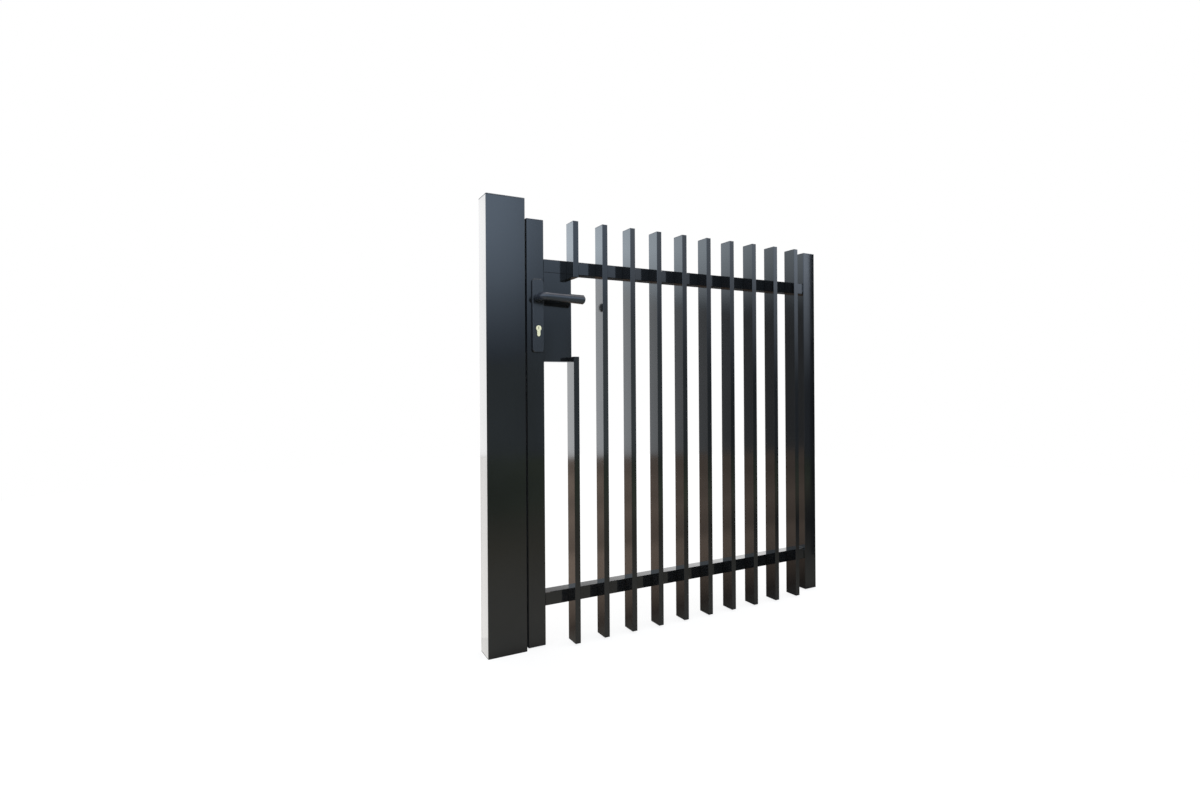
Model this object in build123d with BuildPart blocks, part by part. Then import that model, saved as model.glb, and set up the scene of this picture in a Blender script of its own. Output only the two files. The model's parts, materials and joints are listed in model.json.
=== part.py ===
"""Blade gate: a tubular leaf with vertical blades, its lock post and its hinges.

Millimetres, +Z up. The origin lies on the ground, halfway along the gate and in
the middle plane of its stiles. The blades face -Y, the lock post stands at -X.
"""

from build123d import *

import math
import os

os.makedirs("parts", exist_ok=True)

# Lock post
post_width = 120.0
post_depth = 70.0
post_above_leaf = 56.0
post_wall = 3.0
post_corner = 1.8
post_cap_thickness = 4.0
post_gap = 7.0

# Leaf frame
stile_width = 56.0
stile_depth = 50.0
stile_wall = 2.5
stile_corner = 1.5
stile_cap_thickness = 3.0
rail_length = 1071.0
rail_height = 40.0
rail_depth = 40.0
rail_wall = 2.0
rail_corner = 1.2
rail_inset = 114.0
ground_gap = 6.0

# Blades
blade_count = 10
blade_width = 18.0
blade_depth = 50.0
blade_wall = 1.6
blade_corner = 0.8
blade_height = 1280.0
blade_cap_thickness = 2.0
last_blade_offset = 84.0
lower_blade_overlap = 14.0
upper_blade_overlap = 17.0

# End caps
cap_spigot_depth = 8.0
cap_spigot_clearance = 0.15
cap_seam_share = 0.3

# Lock box, the closed panel between the lock stile and the first blade
box_width = 94.0
box_height = 271.0
box_wall = 2.5
box_corner = 1.2
box_past_blade = 7.0

# Lock
backset = 35.0
spindle_below_rail = 80.0
lock_centres = 92.0
case_above_spindle = 36.0
case_below_cylinder = 40.0
case_behind_spindle = 17.5
case_thickness = 15.0
case_wall = 1.5
case_clearance = 0.4
forend_width = 20.0
forend_thickness = 2.0
forend_overhang = 22.0
lock_screw_radius = 2.0
lock_screw_head_radius = 3.8
lock_screw_length = 14.0
bolt_clearance = 0.3
countersink_angle = 90.0

# Latch and dead bolt
latch_height = 16.0
latch_thickness = 10.0
latch_throw = 13.0
latch_above_spindle = 21.0
latch_lug_thickness = 5.0
latch_lug_clearance = 0.5
latch_notch_clearance = 1.2
latch_nose = 2.0
latch_bevel_start = 1.0
latch_spring_radius = 2.0
latch_spring_hole = 1.2
latch_spring_seat = 24.0
deadbolt_height = 20.0
deadbolt_thickness = 10.0
deadbolt_throw = 20.0
deadbolt_above_cylinder = 31.0
deadbolt_held_length = 22.0
deadbolt_chamfer = 1.0

# Follower and spindle
spindle_side = 8.0
spindle_clearance = 0.05
follower_boss_radius = 8.5
follower_hub_radius = 10.0
follower_arm_radius = 20.0
follower_arm_width = 6.0
follower_arm_lean = 28.0
running_clearance = 0.05

# Handle furniture
plate_width = 36.0
plate_length = 220.0
plate_thickness = 8.0
plate_corner = 8.0
plate_edge = 1.5
plate_above_spindle = 56.0
lever_length = 132.5
lever_droop = 2.0
lever_standoff = 41.0
lever_neck_radius = 12.2
lever_tip_radius = 14.1
lever_bend = 15.0
lever_end_chamfer = 4.0
lever_collar_radius = 9.0
lever_gap = 0.5
lever_socket_end = 10.0
spindle_end_gap = 1.0
grub_screw_radius = 2.5
plate_bolt_radius = 2.5
plate_bolt_head_radius = 4.6
plate_bolt_head_depth = 3.0
plate_bolt_engagement = 6.0
plate_bolt_above_cylinder = 132.0
plate_bolt_below_cylinder = 48.0
hole_clearance = 0.5

# Profile cylinder
cylinder_barrel_radius = 8.5
cylinder_tail_width = 10.0
cylinder_height = 33.0
cylinder_length = 70.0
cylinder_gap = 10.6
plug_radius = 6.5
cam_width = 9.6
cam_radius = 14.8
cam_nose_width = 8.0
keyway_width = 2.2
keyway_height = 8.0
keyway_depth = 26.0
keyway_top = 1.5
profile_clearance = 0.4
cylinder_screw_radius = 2.5
cylinder_screw_head_radius = 4.4
cylinder_screw_drop = 19.5
cylinder_bridge_drop = 15.4
plug_end_gap = 0.4
cam_hub_radius = 8.2

# Keep plate on the post
keep_width = 26.0
keep_thickness = 2.0
keep_overhang = 26.0
keep_slot_clearance = 1.2

# Hinges
hinge_height = 100.0
hinge_plate_thickness = 5.0
hinge_pin_gap = 16.0
hinge_pin_back = 11.0
knuckle_radius = 10.0
knuckle_length = 40.0
knuckle_gap = 1.5
hinge_pin_radius = 5.0
hinge_pin_head_radius = 8.0
hinge_pin_head_height = 3.0
bush_wall = 1.5
bush_flange_radius = 8.5
bush_flange_thickness = 1.2
press_clearance = 0.02
hinge_clearance = 1.0
leaf_plate_length = 48.0
wall_plate_length = 52.0
wall_hole_radius = 4.5
wall_hole_spacing_y = 24.0
wall_hole_spacing_z = 70.0
hinge_screw_radius = 4.0
hinge_screw_head_radius = 7.5
hinge_screw_length = 18.0
leaf_screw_spacing = 70.0

# Places along the gate
leaf_width = 2 * stile_width + rail_length
overall_width = post_width + post_gap + leaf_width + hinge_pin_gap + knuckle_radius
post_x = (post_width - overall_width) / 2
post_face_x = post_x + post_width / 2
lock_stile_x = post_face_x + post_gap
rail_x = lock_stile_x + stile_width
hinge_stile_x = rail_x + rail_length
hinge_face_x = hinge_stile_x + stile_width
pin_x = hinge_face_x + hinge_pin_gap
pin_y = stile_depth / 2 + hinge_pin_back
first_blade_offset = box_width - box_past_blade
first_blade_x = rail_x + first_blade_offset
blade_pitch = (rail_length - first_blade_offset - last_blade_offset) / (blade_count - 1)
lock_x = lock_stile_x + backset

# Heights
blade_bottom = ground_gap
blade_top = ground_gap + blade_height
post_height = blade_top + stile_cap_thickness + post_above_leaf
bottom_rail_z = blade_bottom + rail_inset
top_rail_z = blade_top - rail_inset - rail_height
box_bottom = top_rail_z - box_height
spindle_height = top_rail_z - spindle_below_rail
cylinder_z = spindle_height - lock_centres
cylinder_screw_z = cylinder_z - cylinder_screw_drop
case_bottom = cylinder_z - case_below_cylinder
case_top = spindle_height + case_above_spindle
latch_z = spindle_height + latch_above_spindle
deadbolt_z = cylinder_z + deadbolt_above_cylinder
plate_top = spindle_height + plate_above_spindle
plate_z = plate_top - plate_length / 2
hinge_heights = (bottom_rail_z + rail_height / 2, top_rail_z + rail_height / 2)

# Depths
blade_y = -(rail_depth + blade_depth) / 2
plate_face_y = stile_depth / 2 + plate_thickness
lever_y = plate_face_y + lever_standoff
keep_x = post_face_x + keep_thickness
forend_x = lock_stile_x - forend_thickness
wall_hole_y = pin_y + knuckle_radius + (wall_plate_length - knuckle_radius) / 2
case_back = lock_x + case_behind_spindle
case_front = lock_stile_x
bolt_axis_heights = (
    cylinder_z + plate_bolt_above_cylinder,
    cylinder_z - plate_bolt_below_cylinder,
)
forend_screw_heights = (
    case_top + forend_overhang / 2,
    case_bottom - forend_overhang / 2,
)
keep_bottom = deadbolt_z - deadbolt_height / 2 - keep_overhang
keep_top = latch_z + latch_height / 2 + keep_overhang
keep_screw_heights = (keep_top - keep_overhang / 2, keep_bottom + keep_overhang / 2)
latch_bottom = latch_z - latch_height / 2
arm_lean = math.radians(follower_arm_lean)
arm_half_width = follower_arm_width / 2 / math.cos(arm_lean)
arm_at_latch = lock_x - (latch_bottom - spindle_height) * math.tan(arm_lean)
latch_lug_x = arm_at_latch + arm_half_width + latch_lug_clearance
latch_notch_x = (
    lock_x
    - follower_arm_radius * math.sin(arm_lean)
    - follower_arm_width / 2
    - latch_notch_clearance
)
latch_notch_top = spindle_height + follower_arm_radius + latch_notch_clearance
latch_end_x = latch_lug_x + latch_lug_thickness
latch_spring_z = (latch_notch_top + latch_z + latch_height / 2) / 2


def save(part, label):
    """Label a finished piece and write it under its own name."""
    part.label = label
    export_step(part, f"parts/{label}.step")


def bevelled_rectangle(width, depth, corner):
    """A rectangle with its corners cut off, on the sketch in hand."""
    right = width / 2
    back = depth / 2
    Polygon(
        (right, back - corner),
        (right - corner, back),
        (corner - right, back),
        (-right, back - corner),
        (-right, corner - back),
        (corner - right, -back),
        (right - corner, -back),
        (right, corner - back),
    )


def upright_tube(x, y, z, width, depth, height, wall, corner):
    """A rectangular tube standing on end."""
    with BuildPart() as tube:
        with BuildSketch(Plane.XY.offset(z)):
            with Locations((x, y)):
                bevelled_rectangle(width, depth, corner)
                Rectangle(width - 2 * wall, depth - 2 * wall, mode=Mode.SUBTRACT)
        extrude(amount=height)
    return tube.part


def rail(z):
    """A square tube lying between the two stiles."""
    with BuildPart() as tube:
        with BuildSketch(Plane.YZ.offset(rail_x)):
            with Locations((0, z + rail_height / 2)):
                bevelled_rectangle(rail_depth, rail_height, rail_corner)
                Rectangle(
                    rail_depth - 2 * rail_wall,
                    rail_height - 2 * rail_wall,
                    mode=Mode.SUBTRACT,
                )
        extrude(amount=rail_length)
    return tube.part


def end_cap(x, y, z, direction, width, depth, corner, wall, thickness):
    """A cap, bevelled at its seam, with a spigot; direction is +1 on a top end, -1 below."""
    spigot_width = width - 2 * (wall + cap_spigot_clearance)
    spigot_depth = depth - 2 * (wall + cap_spigot_clearance)
    with BuildPart() as cap:
        with BuildSketch(Plane.XY.offset(z)):
            with Locations((x, y)):
                bevelled_rectangle(width, depth, corner)
        extrude(amount=direction * thickness)
        seam = cap.edges().group_by(Axis.Z)[0 if direction > 0 else -1]
        chamfer(seam, cap_seam_share * thickness)
        with BuildSketch(Plane.XY.offset(z)):
            with Locations((x, y)):
                Rectangle(spigot_width, spigot_depth)
        extrude(amount=-direction * cap_spigot_depth)
    return cap.part


def blade_cap(x, z, direction):
    """The cap on one blade end; z is the end of the shortened tube."""
    return end_cap(
        x, blade_y, z, direction,
        blade_width, blade_depth, blade_corner, blade_wall, blade_cap_thickness,
    )


def stile_cap(x, z, direction):
    """The cap on one stile end."""
    return end_cap(
        x + stile_width / 2, 0, z, direction,
        stile_width, stile_depth, stile_corner, stile_wall, stile_cap_thickness,
    )


def blade(x, low, high):
    """One blade tube, shortened by its two end caps."""
    return upright_tube(
        x, blade_y, low + blade_cap_thickness,
        blade_width, blade_depth, high - low - 2 * blade_cap_thickness,
        blade_wall, blade_corner,
    )


def profile_outline(clearance):
    """The keyhole outline of a profile cylinder, on a sketch centred on its plug."""
    radius = cylinder_barrel_radius + clearance
    tail = cylinder_tail_width + 2 * clearance
    drop = cylinder_height - cylinder_barrel_radius - cylinder_tail_width / 2
    Circle(radius)
    with Locations((0, -drop / 2)):
        Rectangle(tail, drop)
    with Locations((0, -drop)):
        Circle(tail / 2)


def across(y, x, z):
    """A plane facing -Y whose own x runs along +X and own y along +Z."""
    return Plane(origin=(x, y, z), x_dir=(1, 0, 0), z_dir=(0, -1, 0))


def facing(x, y, z, direction):
    """A plane at a point that faces along +X or -X, its own y along +Z."""
    return Plane(origin=(x, y, z), x_dir=(0, direction, 0), z_dir=(direction, 0, 0))


def countersunk_screw(place, length, shank_radius, head_radius):
    """A countersunk screw, its head flush with the place and its shank behind it."""
    taper = (head_radius - shank_radius) / math.tan(math.radians(countersink_angle / 2))
    with BuildPart() as screw:
        with BuildSketch(Plane(place.origin, x_dir=place.x_dir, z_dir=-place.y_dir)):
            with BuildLine():
                Polyline(
                    (0, 0),
                    (head_radius, 0),
                    (shank_radius, -taper),
                    (shank_radius, -length),
                    (0, -length),
                    close=True,
                )
            make_face()
        revolve(axis=Axis(place.origin, place.z_dir))
    return screw.part


def back_plate():
    """A handle plate on the front of the stile, with its lever and cylinder holes."""
    with BuildPart() as plate:
        with BuildSketch(across(-stile_depth / 2, lock_x, plate_z)):
            RectangleRounded(plate_width, plate_length, plate_corner)
        extrude(amount=plate_thickness)
        chamfer(plate.faces().sort_by(Axis.Y)[0].edges(), plate_edge)
        with BuildSketch(across(-stile_depth / 2, lock_x, spindle_height)):
            Circle(lever_collar_radius + running_clearance)
        extrude(amount=plate_thickness, mode=Mode.SUBTRACT)
        with BuildSketch(across(-stile_depth / 2, lock_x, cylinder_z)):
            profile_outline(profile_clearance)
        extrude(amount=plate_thickness, mode=Mode.SUBTRACT)
    return plate.part


def across_grip(distance):
    """A plane across the front lever's grip, at a distance from the spindle."""
    droop = math.radians(lever_droop)
    return Plane(
        origin=(
            lock_x + distance * math.cos(droop),
            -lever_y,
            spindle_height - distance * math.sin(droop),
        ),
        x_dir=(0, 1, 0),
        z_dir=(math.cos(droop), 0, -math.sin(droop)),
    )


def plug(start_y, length):
    """A cylinder plug with its keyway, reaching back from its face at start_y."""
    with BuildPart() as body:
        with BuildSketch(across(start_y, lock_x, cylinder_z)):
            Circle(plug_radius)
        extrude(amount=-length)
        with BuildSketch(across(start_y, lock_x, cylinder_z)):
            with Locations((0, plug_radius - keyway_top - keyway_height / 2)):
                Rectangle(keyway_width, keyway_height)
        extrude(amount=-keyway_depth, mode=Mode.SUBTRACT)
    return body.part


def hinge_leaf_plate(middle):
    """The half of a hinge on the stile: a screwed plate with the middle knuckle."""
    bush_radius = hinge_pin_radius + bush_wall
    with BuildPart() as plate:
        with BuildSketch(across(stile_depth / 2 + hinge_plate_thickness, 0, middle)):
            with Locations((hinge_face_x - leaf_plate_length / 2, 0)):
                Rectangle(leaf_plate_length, hinge_height)
            with Locations((hinge_face_x + hinge_pin_gap / 2, 0)):
                Rectangle(hinge_pin_gap, knuckle_length)
        extrude(amount=hinge_plate_thickness)
        with BuildSketch(Plane.XY.offset(middle - knuckle_length / 2)):
            with Locations((pin_x, pin_y)):
                Circle(knuckle_radius)
        extrude(amount=knuckle_length)
        with BuildSketch(Plane.XY.offset(middle - knuckle_length / 2)):
            with Locations((pin_x, pin_y)):
                Circle(bush_radius + press_clearance)
        extrude(amount=knuckle_length, mode=Mode.SUBTRACT)
        for place in leaf_screw_places(middle):
            with Locations(place):
                CounterSinkHole(
                    hinge_screw_radius,
                    hinge_screw_head_radius,
                    counter_sink_angle=countersink_angle,
                )
    return plate.part


def hinge_wall_plate(middle):
    """The fixed half of a hinge: a plate to bolt up, with the two outer knuckles."""
    outer_length = (hinge_height - knuckle_length) / 2 - knuckle_gap
    plate_x = pin_x + knuckle_radius - hinge_plate_thickness
    notch_length = knuckle_radius + hinge_clearance
    with BuildPart() as plate:
        with BuildSketch(Plane.YZ.offset(plate_x)):
            with Locations((pin_y + wall_plate_length / 2, middle)):
                Rectangle(wall_plate_length, hinge_height)
            with Locations((pin_y + notch_length / 2, middle)):
                Rectangle(notch_length, knuckle_length + 2 * knuckle_gap, mode=Mode.SUBTRACT)
            with Locations((wall_hole_y, middle)):
                with GridLocations(wall_hole_spacing_y, wall_hole_spacing_z, 2, 2):
                    Circle(wall_hole_radius, mode=Mode.SUBTRACT)
        extrude(amount=hinge_plate_thickness)
        for z in (middle - hinge_height / 2, middle + hinge_height / 2 - outer_length):
            with BuildSketch(Plane.XY.offset(z)):
                with Locations((pin_x, pin_y)):
                    Circle(knuckle_radius)
            extrude(amount=outer_length)
        with BuildSketch(Plane.XY.offset(middle - hinge_height / 2)):
            with Locations((pin_x, pin_y)):
                Circle(hinge_pin_radius + press_clearance)
        extrude(amount=hinge_height, mode=Mode.SUBTRACT)
    return plate.part


def hinge_pin(middle):
    """A headed pin dropped through the knuckles from above."""
    with BuildPart() as pin:
        with BuildSketch(Plane.XY.offset(middle - hinge_height / 2)):
            with Locations((pin_x, pin_y)):
                Circle(hinge_pin_radius)
        extrude(amount=hinge_height)
        with BuildSketch(Plane.XY.offset(middle + hinge_height / 2)):
            with Locations((pin_x, pin_y)):
                Circle(hinge_pin_head_radius)
        extrude(amount=hinge_pin_head_height)
    return pin.part


def hinge_bush(middle):
    """A bush through the middle knuckle, its flange on the knuckle below."""
    seat_z = middle - knuckle_length / 2
    with BuildPart() as bush:
        with BuildSketch(Plane.XY.offset(seat_z)):
            with Locations((pin_x, pin_y)):
                Circle(hinge_pin_radius + bush_wall)
        extrude(amount=knuckle_length)
        with BuildSketch(Plane.XY.offset(seat_z)):
            with Locations((pin_x, pin_y)):
                Circle(bush_flange_radius)
        extrude(amount=-bush_flange_thickness)
        with BuildSketch(Plane.XY.offset(seat_z - bush_flange_thickness)):
            with Locations((pin_x, pin_y)):
                Circle(hinge_pin_radius + running_clearance)
        extrude(amount=bush_flange_thickness + knuckle_length, mode=Mode.SUBTRACT)
    return bush.part


def leaf_screw_places(middle):
    """Where one hinge is screwed to the back of its stile, facing +Y."""
    x = hinge_face_x - leaf_plate_length / 2
    y = stile_depth / 2 + hinge_plate_thickness
    return [
        Plane((x, y, middle + z), x_dir=(-1, 0, 0), z_dir=(0, 1, 0))
        for z in (-leaf_screw_spacing / 2, leaf_screw_spacing / 2)
    ]


# Lock post, with the two pockets for the latch and the dead bolt
with BuildPart() as lock_post:
    with BuildSketch():
        with Locations((post_x, 0)):
            bevelled_rectangle(post_width, post_depth, post_corner)
            Rectangle(
                post_width - 2 * post_wall,
                post_depth - 2 * post_wall,
                mode=Mode.SUBTRACT,
            )
    extrude(amount=post_height - post_cap_thickness)
    with BuildSketch(Plane.YZ.offset(post_face_x)):
        with Locations((0, latch_z)):
            Rectangle(
                latch_thickness + 2 * keep_slot_clearance,
                latch_height + 2 * keep_slot_clearance,
            )
        with Locations((0, deadbolt_z)):
            Rectangle(
                deadbolt_thickness + 2 * keep_slot_clearance,
                deadbolt_height + 2 * keep_slot_clearance,
            )
        for height in keep_screw_heights:
            with Locations((0, height)):
                Circle(lock_screw_radius)
    extrude(amount=-post_wall, mode=Mode.SUBTRACT)
save(lock_post.part, "lock_post")

post_cap = end_cap(
    post_x, 0, post_height - post_cap_thickness, 1,
    post_width, post_depth, post_corner, post_wall, post_cap_thickness,
)
save(post_cap, "post_cap")

# Keep plate, screwed to the post opposite the lock
with BuildPart() as keep_plate:
    with BuildSketch(Plane.YZ.offset(post_face_x)):
        with Locations((0, (keep_top + keep_bottom) / 2)):
            Rectangle(keep_width, keep_top - keep_bottom)
        with Locations((0, latch_z)):
            Rectangle(
                latch_thickness + 2 * keep_slot_clearance,
                latch_height + 2 * keep_slot_clearance,
                mode=Mode.SUBTRACT,
            )
        with Locations((0, deadbolt_z)):
            Rectangle(
                deadbolt_thickness + 2 * keep_slot_clearance,
                deadbolt_height + 2 * keep_slot_clearance,
                mode=Mode.SUBTRACT,
            )
    extrude(amount=keep_thickness)
    for height in keep_screw_heights:
        with Locations(facing(keep_x, 0, height, 1)):
            CounterSinkHole(
                lock_screw_radius,
                lock_screw_head_radius,
                counter_sink_angle=countersink_angle,
            )
save(keep_plate.part, "keep_plate")

with BuildPart() as keep_screws:
    for height in keep_screw_heights:
        place = facing(keep_x, 0, height, 1)
        add(countersunk_screw(place, lock_screw_length, lock_screw_radius, lock_screw_head_radius))
save(keep_screws.part, "keep_screws")

# Leaf frame: two stiles, two rails and the lock box
with BuildPart() as lock_stile:
    add(
        upright_tube(
            lock_stile_x + stile_width / 2, 0, blade_bottom,
            stile_width, stile_depth, blade_height, stile_wall, stile_corner,
        )
    )
    with BuildSketch(Plane.YZ.offset(lock_stile_x)):
        with Locations((0, (case_top + case_bottom) / 2)):
            Rectangle(
                case_thickness + 2 * case_clearance,
                case_top - case_bottom + 2 * case_clearance,
            )
        for height in forend_screw_heights:
            with Locations((0, height)):
                Circle(lock_screw_radius)
    extrude(amount=stile_wall, mode=Mode.SUBTRACT)
    with BuildSketch(across(stile_depth / 2, lock_x, spindle_height)):
        Circle(lever_collar_radius + hole_clearance)
    extrude(amount=stile_depth, mode=Mode.SUBTRACT)
    with BuildSketch(across(stile_depth / 2, lock_x, cylinder_z)):
        with Locations((0, cylinder_barrel_radius - cylinder_height / 2)):
            Rectangle(
                2 * (cylinder_barrel_radius + profile_clearance),
                cylinder_height + 2 * profile_clearance,
            )
    extrude(amount=stile_depth, mode=Mode.SUBTRACT)
    for height in bolt_axis_heights:
        with BuildSketch(across(stile_depth / 2, lock_x, height)):
            Circle(plate_bolt_radius + hole_clearance)
        extrude(amount=stile_depth, mode=Mode.SUBTRACT)
save(lock_stile.part, "lock_stile")

with BuildPart() as hinge_stile:
    add(
        upright_tube(
            hinge_stile_x + stile_width / 2, 0, blade_bottom,
            stile_width, stile_depth, blade_height, stile_wall, stile_corner,
        )
    )
    for middle in hinge_heights:
        for place in leaf_screw_places(middle):
            with BuildSketch(place):
                Circle(hinge_screw_radius)
            extrude(amount=-hinge_plate_thickness - stile_wall, mode=Mode.SUBTRACT)
save(hinge_stile.part, "hinge_stile")

save(rail(bottom_rail_z), "bottom_rail")
save(rail(top_rail_z), "top_rail")

with BuildPart() as lock_box:
    with BuildSketch(Plane.XY.offset(box_bottom)):
        with Locations((rail_x + box_width / 2, 0)):
            Rectangle(box_width, rail_depth)
    extrude(amount=box_height)
    right_corners = lock_box.edges().filter_by(Axis.Z).group_by(Axis.X)[-1]
    chamfer(right_corners, box_corner)
    with BuildSketch(Plane.XY.offset(box_bottom + box_wall)):
        with Locations((rail_x + (box_width - box_wall) / 2, 0)):
            Rectangle(box_width - box_wall, rail_depth - 2 * box_wall)
    extrude(amount=box_height - box_wall, mode=Mode.SUBTRACT)
save(lock_box.part, "lock_box")

# Blades; the first one is cut in two around the lock box
blade_places = [first_blade_x + index * blade_pitch for index in range(blade_count)]
lower_blade_top = box_bottom + lower_blade_overlap
upper_blade_bottom = top_rail_z - upper_blade_overlap
save(blade(blade_places[0], blade_bottom, lower_blade_top), "blade_01_lower")
save(blade(blade_places[0], upper_blade_bottom, blade_top), "blade_01_upper")
for index, x in enumerate(blade_places[1:], start=2):
    save(blade(x, blade_bottom, blade_top), f"blade_{index:02d}")

# End caps
with BuildPart() as blade_top_caps:
    for x in blade_places:
        add(blade_cap(x, blade_top - blade_cap_thickness, 1))
save(blade_top_caps.part, "blade_top_caps")

with BuildPart() as blade_bottom_caps:
    for x in blade_places:
        add(blade_cap(x, blade_bottom + blade_cap_thickness, -1))
save(blade_bottom_caps.part, "blade_bottom_caps")

with BuildPart() as cut_blade_caps:
    add(blade_cap(blade_places[0], lower_blade_top - blade_cap_thickness, 1))
    add(blade_cap(blade_places[0], upper_blade_bottom + blade_cap_thickness, -1))
save(cut_blade_caps.part, "cut_blade_caps")

with BuildPart() as stile_top_caps:
    for x in (lock_stile_x, hinge_stile_x):
        add(stile_cap(x, blade_top, 1))
save(stile_top_caps.part, "stile_top_caps")

with BuildPart() as stile_bottom_caps:
    for x in (lock_stile_x, hinge_stile_x):
        add(stile_cap(x, blade_bottom, -1))
save(stile_bottom_caps.part, "stile_bottom_caps")

# Lock case, open towards the forend plate
with BuildPart() as lock_case:
    with BuildSketch(Plane.XY.offset(case_bottom)):
        with Locations(((case_front + case_back) / 2, 0)):
            Rectangle(case_back - case_front, case_thickness)
    extrude(amount=case_top - case_bottom)
    with BuildSketch(Plane.XY.offset(case_bottom + case_wall)):
        with Locations(((case_front + case_back - case_wall) / 2, 0)):
            Rectangle(case_back - case_front - case_wall, case_thickness - 2 * case_wall)
    extrude(amount=case_top - case_bottom - 2 * case_wall, mode=Mode.SUBTRACT)
    with BuildSketch(across(case_thickness / 2, lock_x, spindle_height)):
        Circle(follower_boss_radius + running_clearance)
    extrude(amount=case_thickness, mode=Mode.SUBTRACT)
    with BuildSketch(across(case_thickness / 2, lock_x, cylinder_z)):
        profile_outline(profile_clearance)
    extrude(amount=case_thickness, mode=Mode.SUBTRACT)
save(lock_case.part, "lock_case")

with BuildPart() as forend:
    with BuildSketch(Plane.YZ.offset(forend_x)):
        with Locations((0, (case_top + case_bottom) / 2)):
            Rectangle(forend_width, case_top - case_bottom + 2 * forend_overhang)
        with Locations((0, latch_z)):
            Rectangle(
                latch_thickness + 2 * bolt_clearance,
                latch_height + 2 * bolt_clearance,
                mode=Mode.SUBTRACT,
            )
        with Locations((0, deadbolt_z)):
            Rectangle(
                deadbolt_thickness + 2 * bolt_clearance,
                deadbolt_height + 2 * bolt_clearance,
                mode=Mode.SUBTRACT,
            )
    extrude(amount=forend_thickness)
    for height in forend_screw_heights:
        with Locations(facing(forend_x, 0, height, -1)):
            CounterSinkHole(
                lock_screw_radius,
                lock_screw_head_radius,
                counter_sink_angle=countersink_angle,
            )
    with Locations(facing(forend_x, 0, cylinder_screw_z, -1)):
        CounterSinkHole(
            cylinder_screw_radius,
            cylinder_screw_head_radius,
            counter_sink_angle=countersink_angle,
        )
save(forend.part, "forend")

with BuildPart() as forend_screws:
    for height in forend_screw_heights:
        place = facing(forend_x, 0, height, -1)
        add(countersunk_screw(place, lock_screw_length, lock_screw_radius, lock_screw_head_radius))
save(forend_screws.part, "forend_screws")

cylinder_screw = countersunk_screw(
    facing(forend_x, 0, cylinder_screw_z, -1),
    lock_x - forend_x + cylinder_tail_width / 2,
    cylinder_screw_radius,
    cylinder_screw_head_radius,
)
save(cylinder_screw, "cylinder_screw")

# Latch bolt, bevelled towards the front, with a notch for the follower's arm
latch_tip_x = forend_x - latch_throw
with BuildPart() as latch_bolt:
    with BuildSketch(across(latch_thickness / 2, 0, 0)):
        with Locations(((latch_tip_x + latch_end_x) / 2, latch_z)):
            Rectangle(latch_end_x - latch_tip_x, latch_height)
        with Locations(((latch_notch_x + latch_lug_x) / 2, (latch_bottom + latch_notch_top) / 2)):
            Rectangle(
                latch_lug_x - latch_notch_x,
                latch_notch_top - latch_bottom,
                mode=Mode.SUBTRACT,
            )
    extrude(amount=latch_thickness)
    with BuildSketch(Plane.XY.offset(latch_bottom)):
        with BuildLine():
            Polyline(
                (latch_tip_x, -latch_thickness / 2),
                (forend_x - latch_bevel_start, -latch_thickness / 2),
                (latch_tip_x, latch_thickness / 2 - latch_nose),
                close=True,
            )
        make_face()
    extrude(amount=latch_height, mode=Mode.SUBTRACT)
    with BuildSketch(facing(latch_end_x, 0, latch_spring_z, 1)):
        Circle(latch_spring_radius + bolt_clearance)
    extrude(amount=-latch_spring_seat, mode=Mode.SUBTRACT)
save(latch_bolt.part, "latch_bolt")

# Latch spring, drawn as a sleeve of its shortest length
latch_back_gap = case_back - case_wall - latch_end_x - latch_throw
with BuildPart() as latch_spring:
    with BuildSketch(facing(case_back - case_wall, 0, latch_spring_z, 1)):
        Circle(latch_spring_radius)
        Circle(latch_spring_hole, mode=Mode.SUBTRACT)
    extrude(amount=-(latch_spring_seat + latch_back_gap - bolt_clearance))
save(latch_spring.part, "latch_spring")

with BuildPart() as deadbolt:
    with BuildSketch(Plane.YZ.offset(forend_x)):
        with Locations((0, deadbolt_z)):
            Rectangle(deadbolt_thickness, deadbolt_height)
    extrude(amount=deadbolt_throw + deadbolt_held_length)
    chamfer(deadbolt.faces().sort_by(Axis.X)[0].edges(), deadbolt_chamfer)
save(deadbolt.part, "deadbolt")

# Follower, turned by the spindle
with BuildPart() as follower:
    with BuildSketch(across(case_thickness / 2, lock_x, spindle_height)):
        Circle(follower_boss_radius)
    extrude(amount=case_thickness)
    hub_width = case_thickness - 2 * case_wall - 2 * bolt_clearance
    with BuildSketch(across(hub_width / 2, lock_x, spindle_height)):
        Circle(follower_hub_radius)
        with Locations(Rotation(0, 0, follower_arm_lean)):
            with Locations((0, follower_arm_radius / 2)):
                Rectangle(follower_arm_width, follower_arm_radius)
    extrude(amount=hub_width)
    with BuildSketch(across(case_thickness / 2, lock_x, spindle_height)):
        Rectangle(*[spindle_side + 2 * spindle_clearance] * 2)
    extrude(amount=case_thickness, mode=Mode.SUBTRACT)
save(follower.part, "follower")

# Levers on a square spindle
lever_socket_depth = plate_thickness + lever_standoff - lever_bend - lever_socket_end
spindle_reach = stile_depth / 2 + lever_socket_depth - spindle_end_gap
with BuildPart() as spindle:
    with BuildSketch(across(spindle_reach, lock_x, spindle_height)):
        Rectangle(spindle_side, spindle_side)
    extrude(amount=2 * spindle_reach)
save(spindle.part, "spindle")

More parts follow.
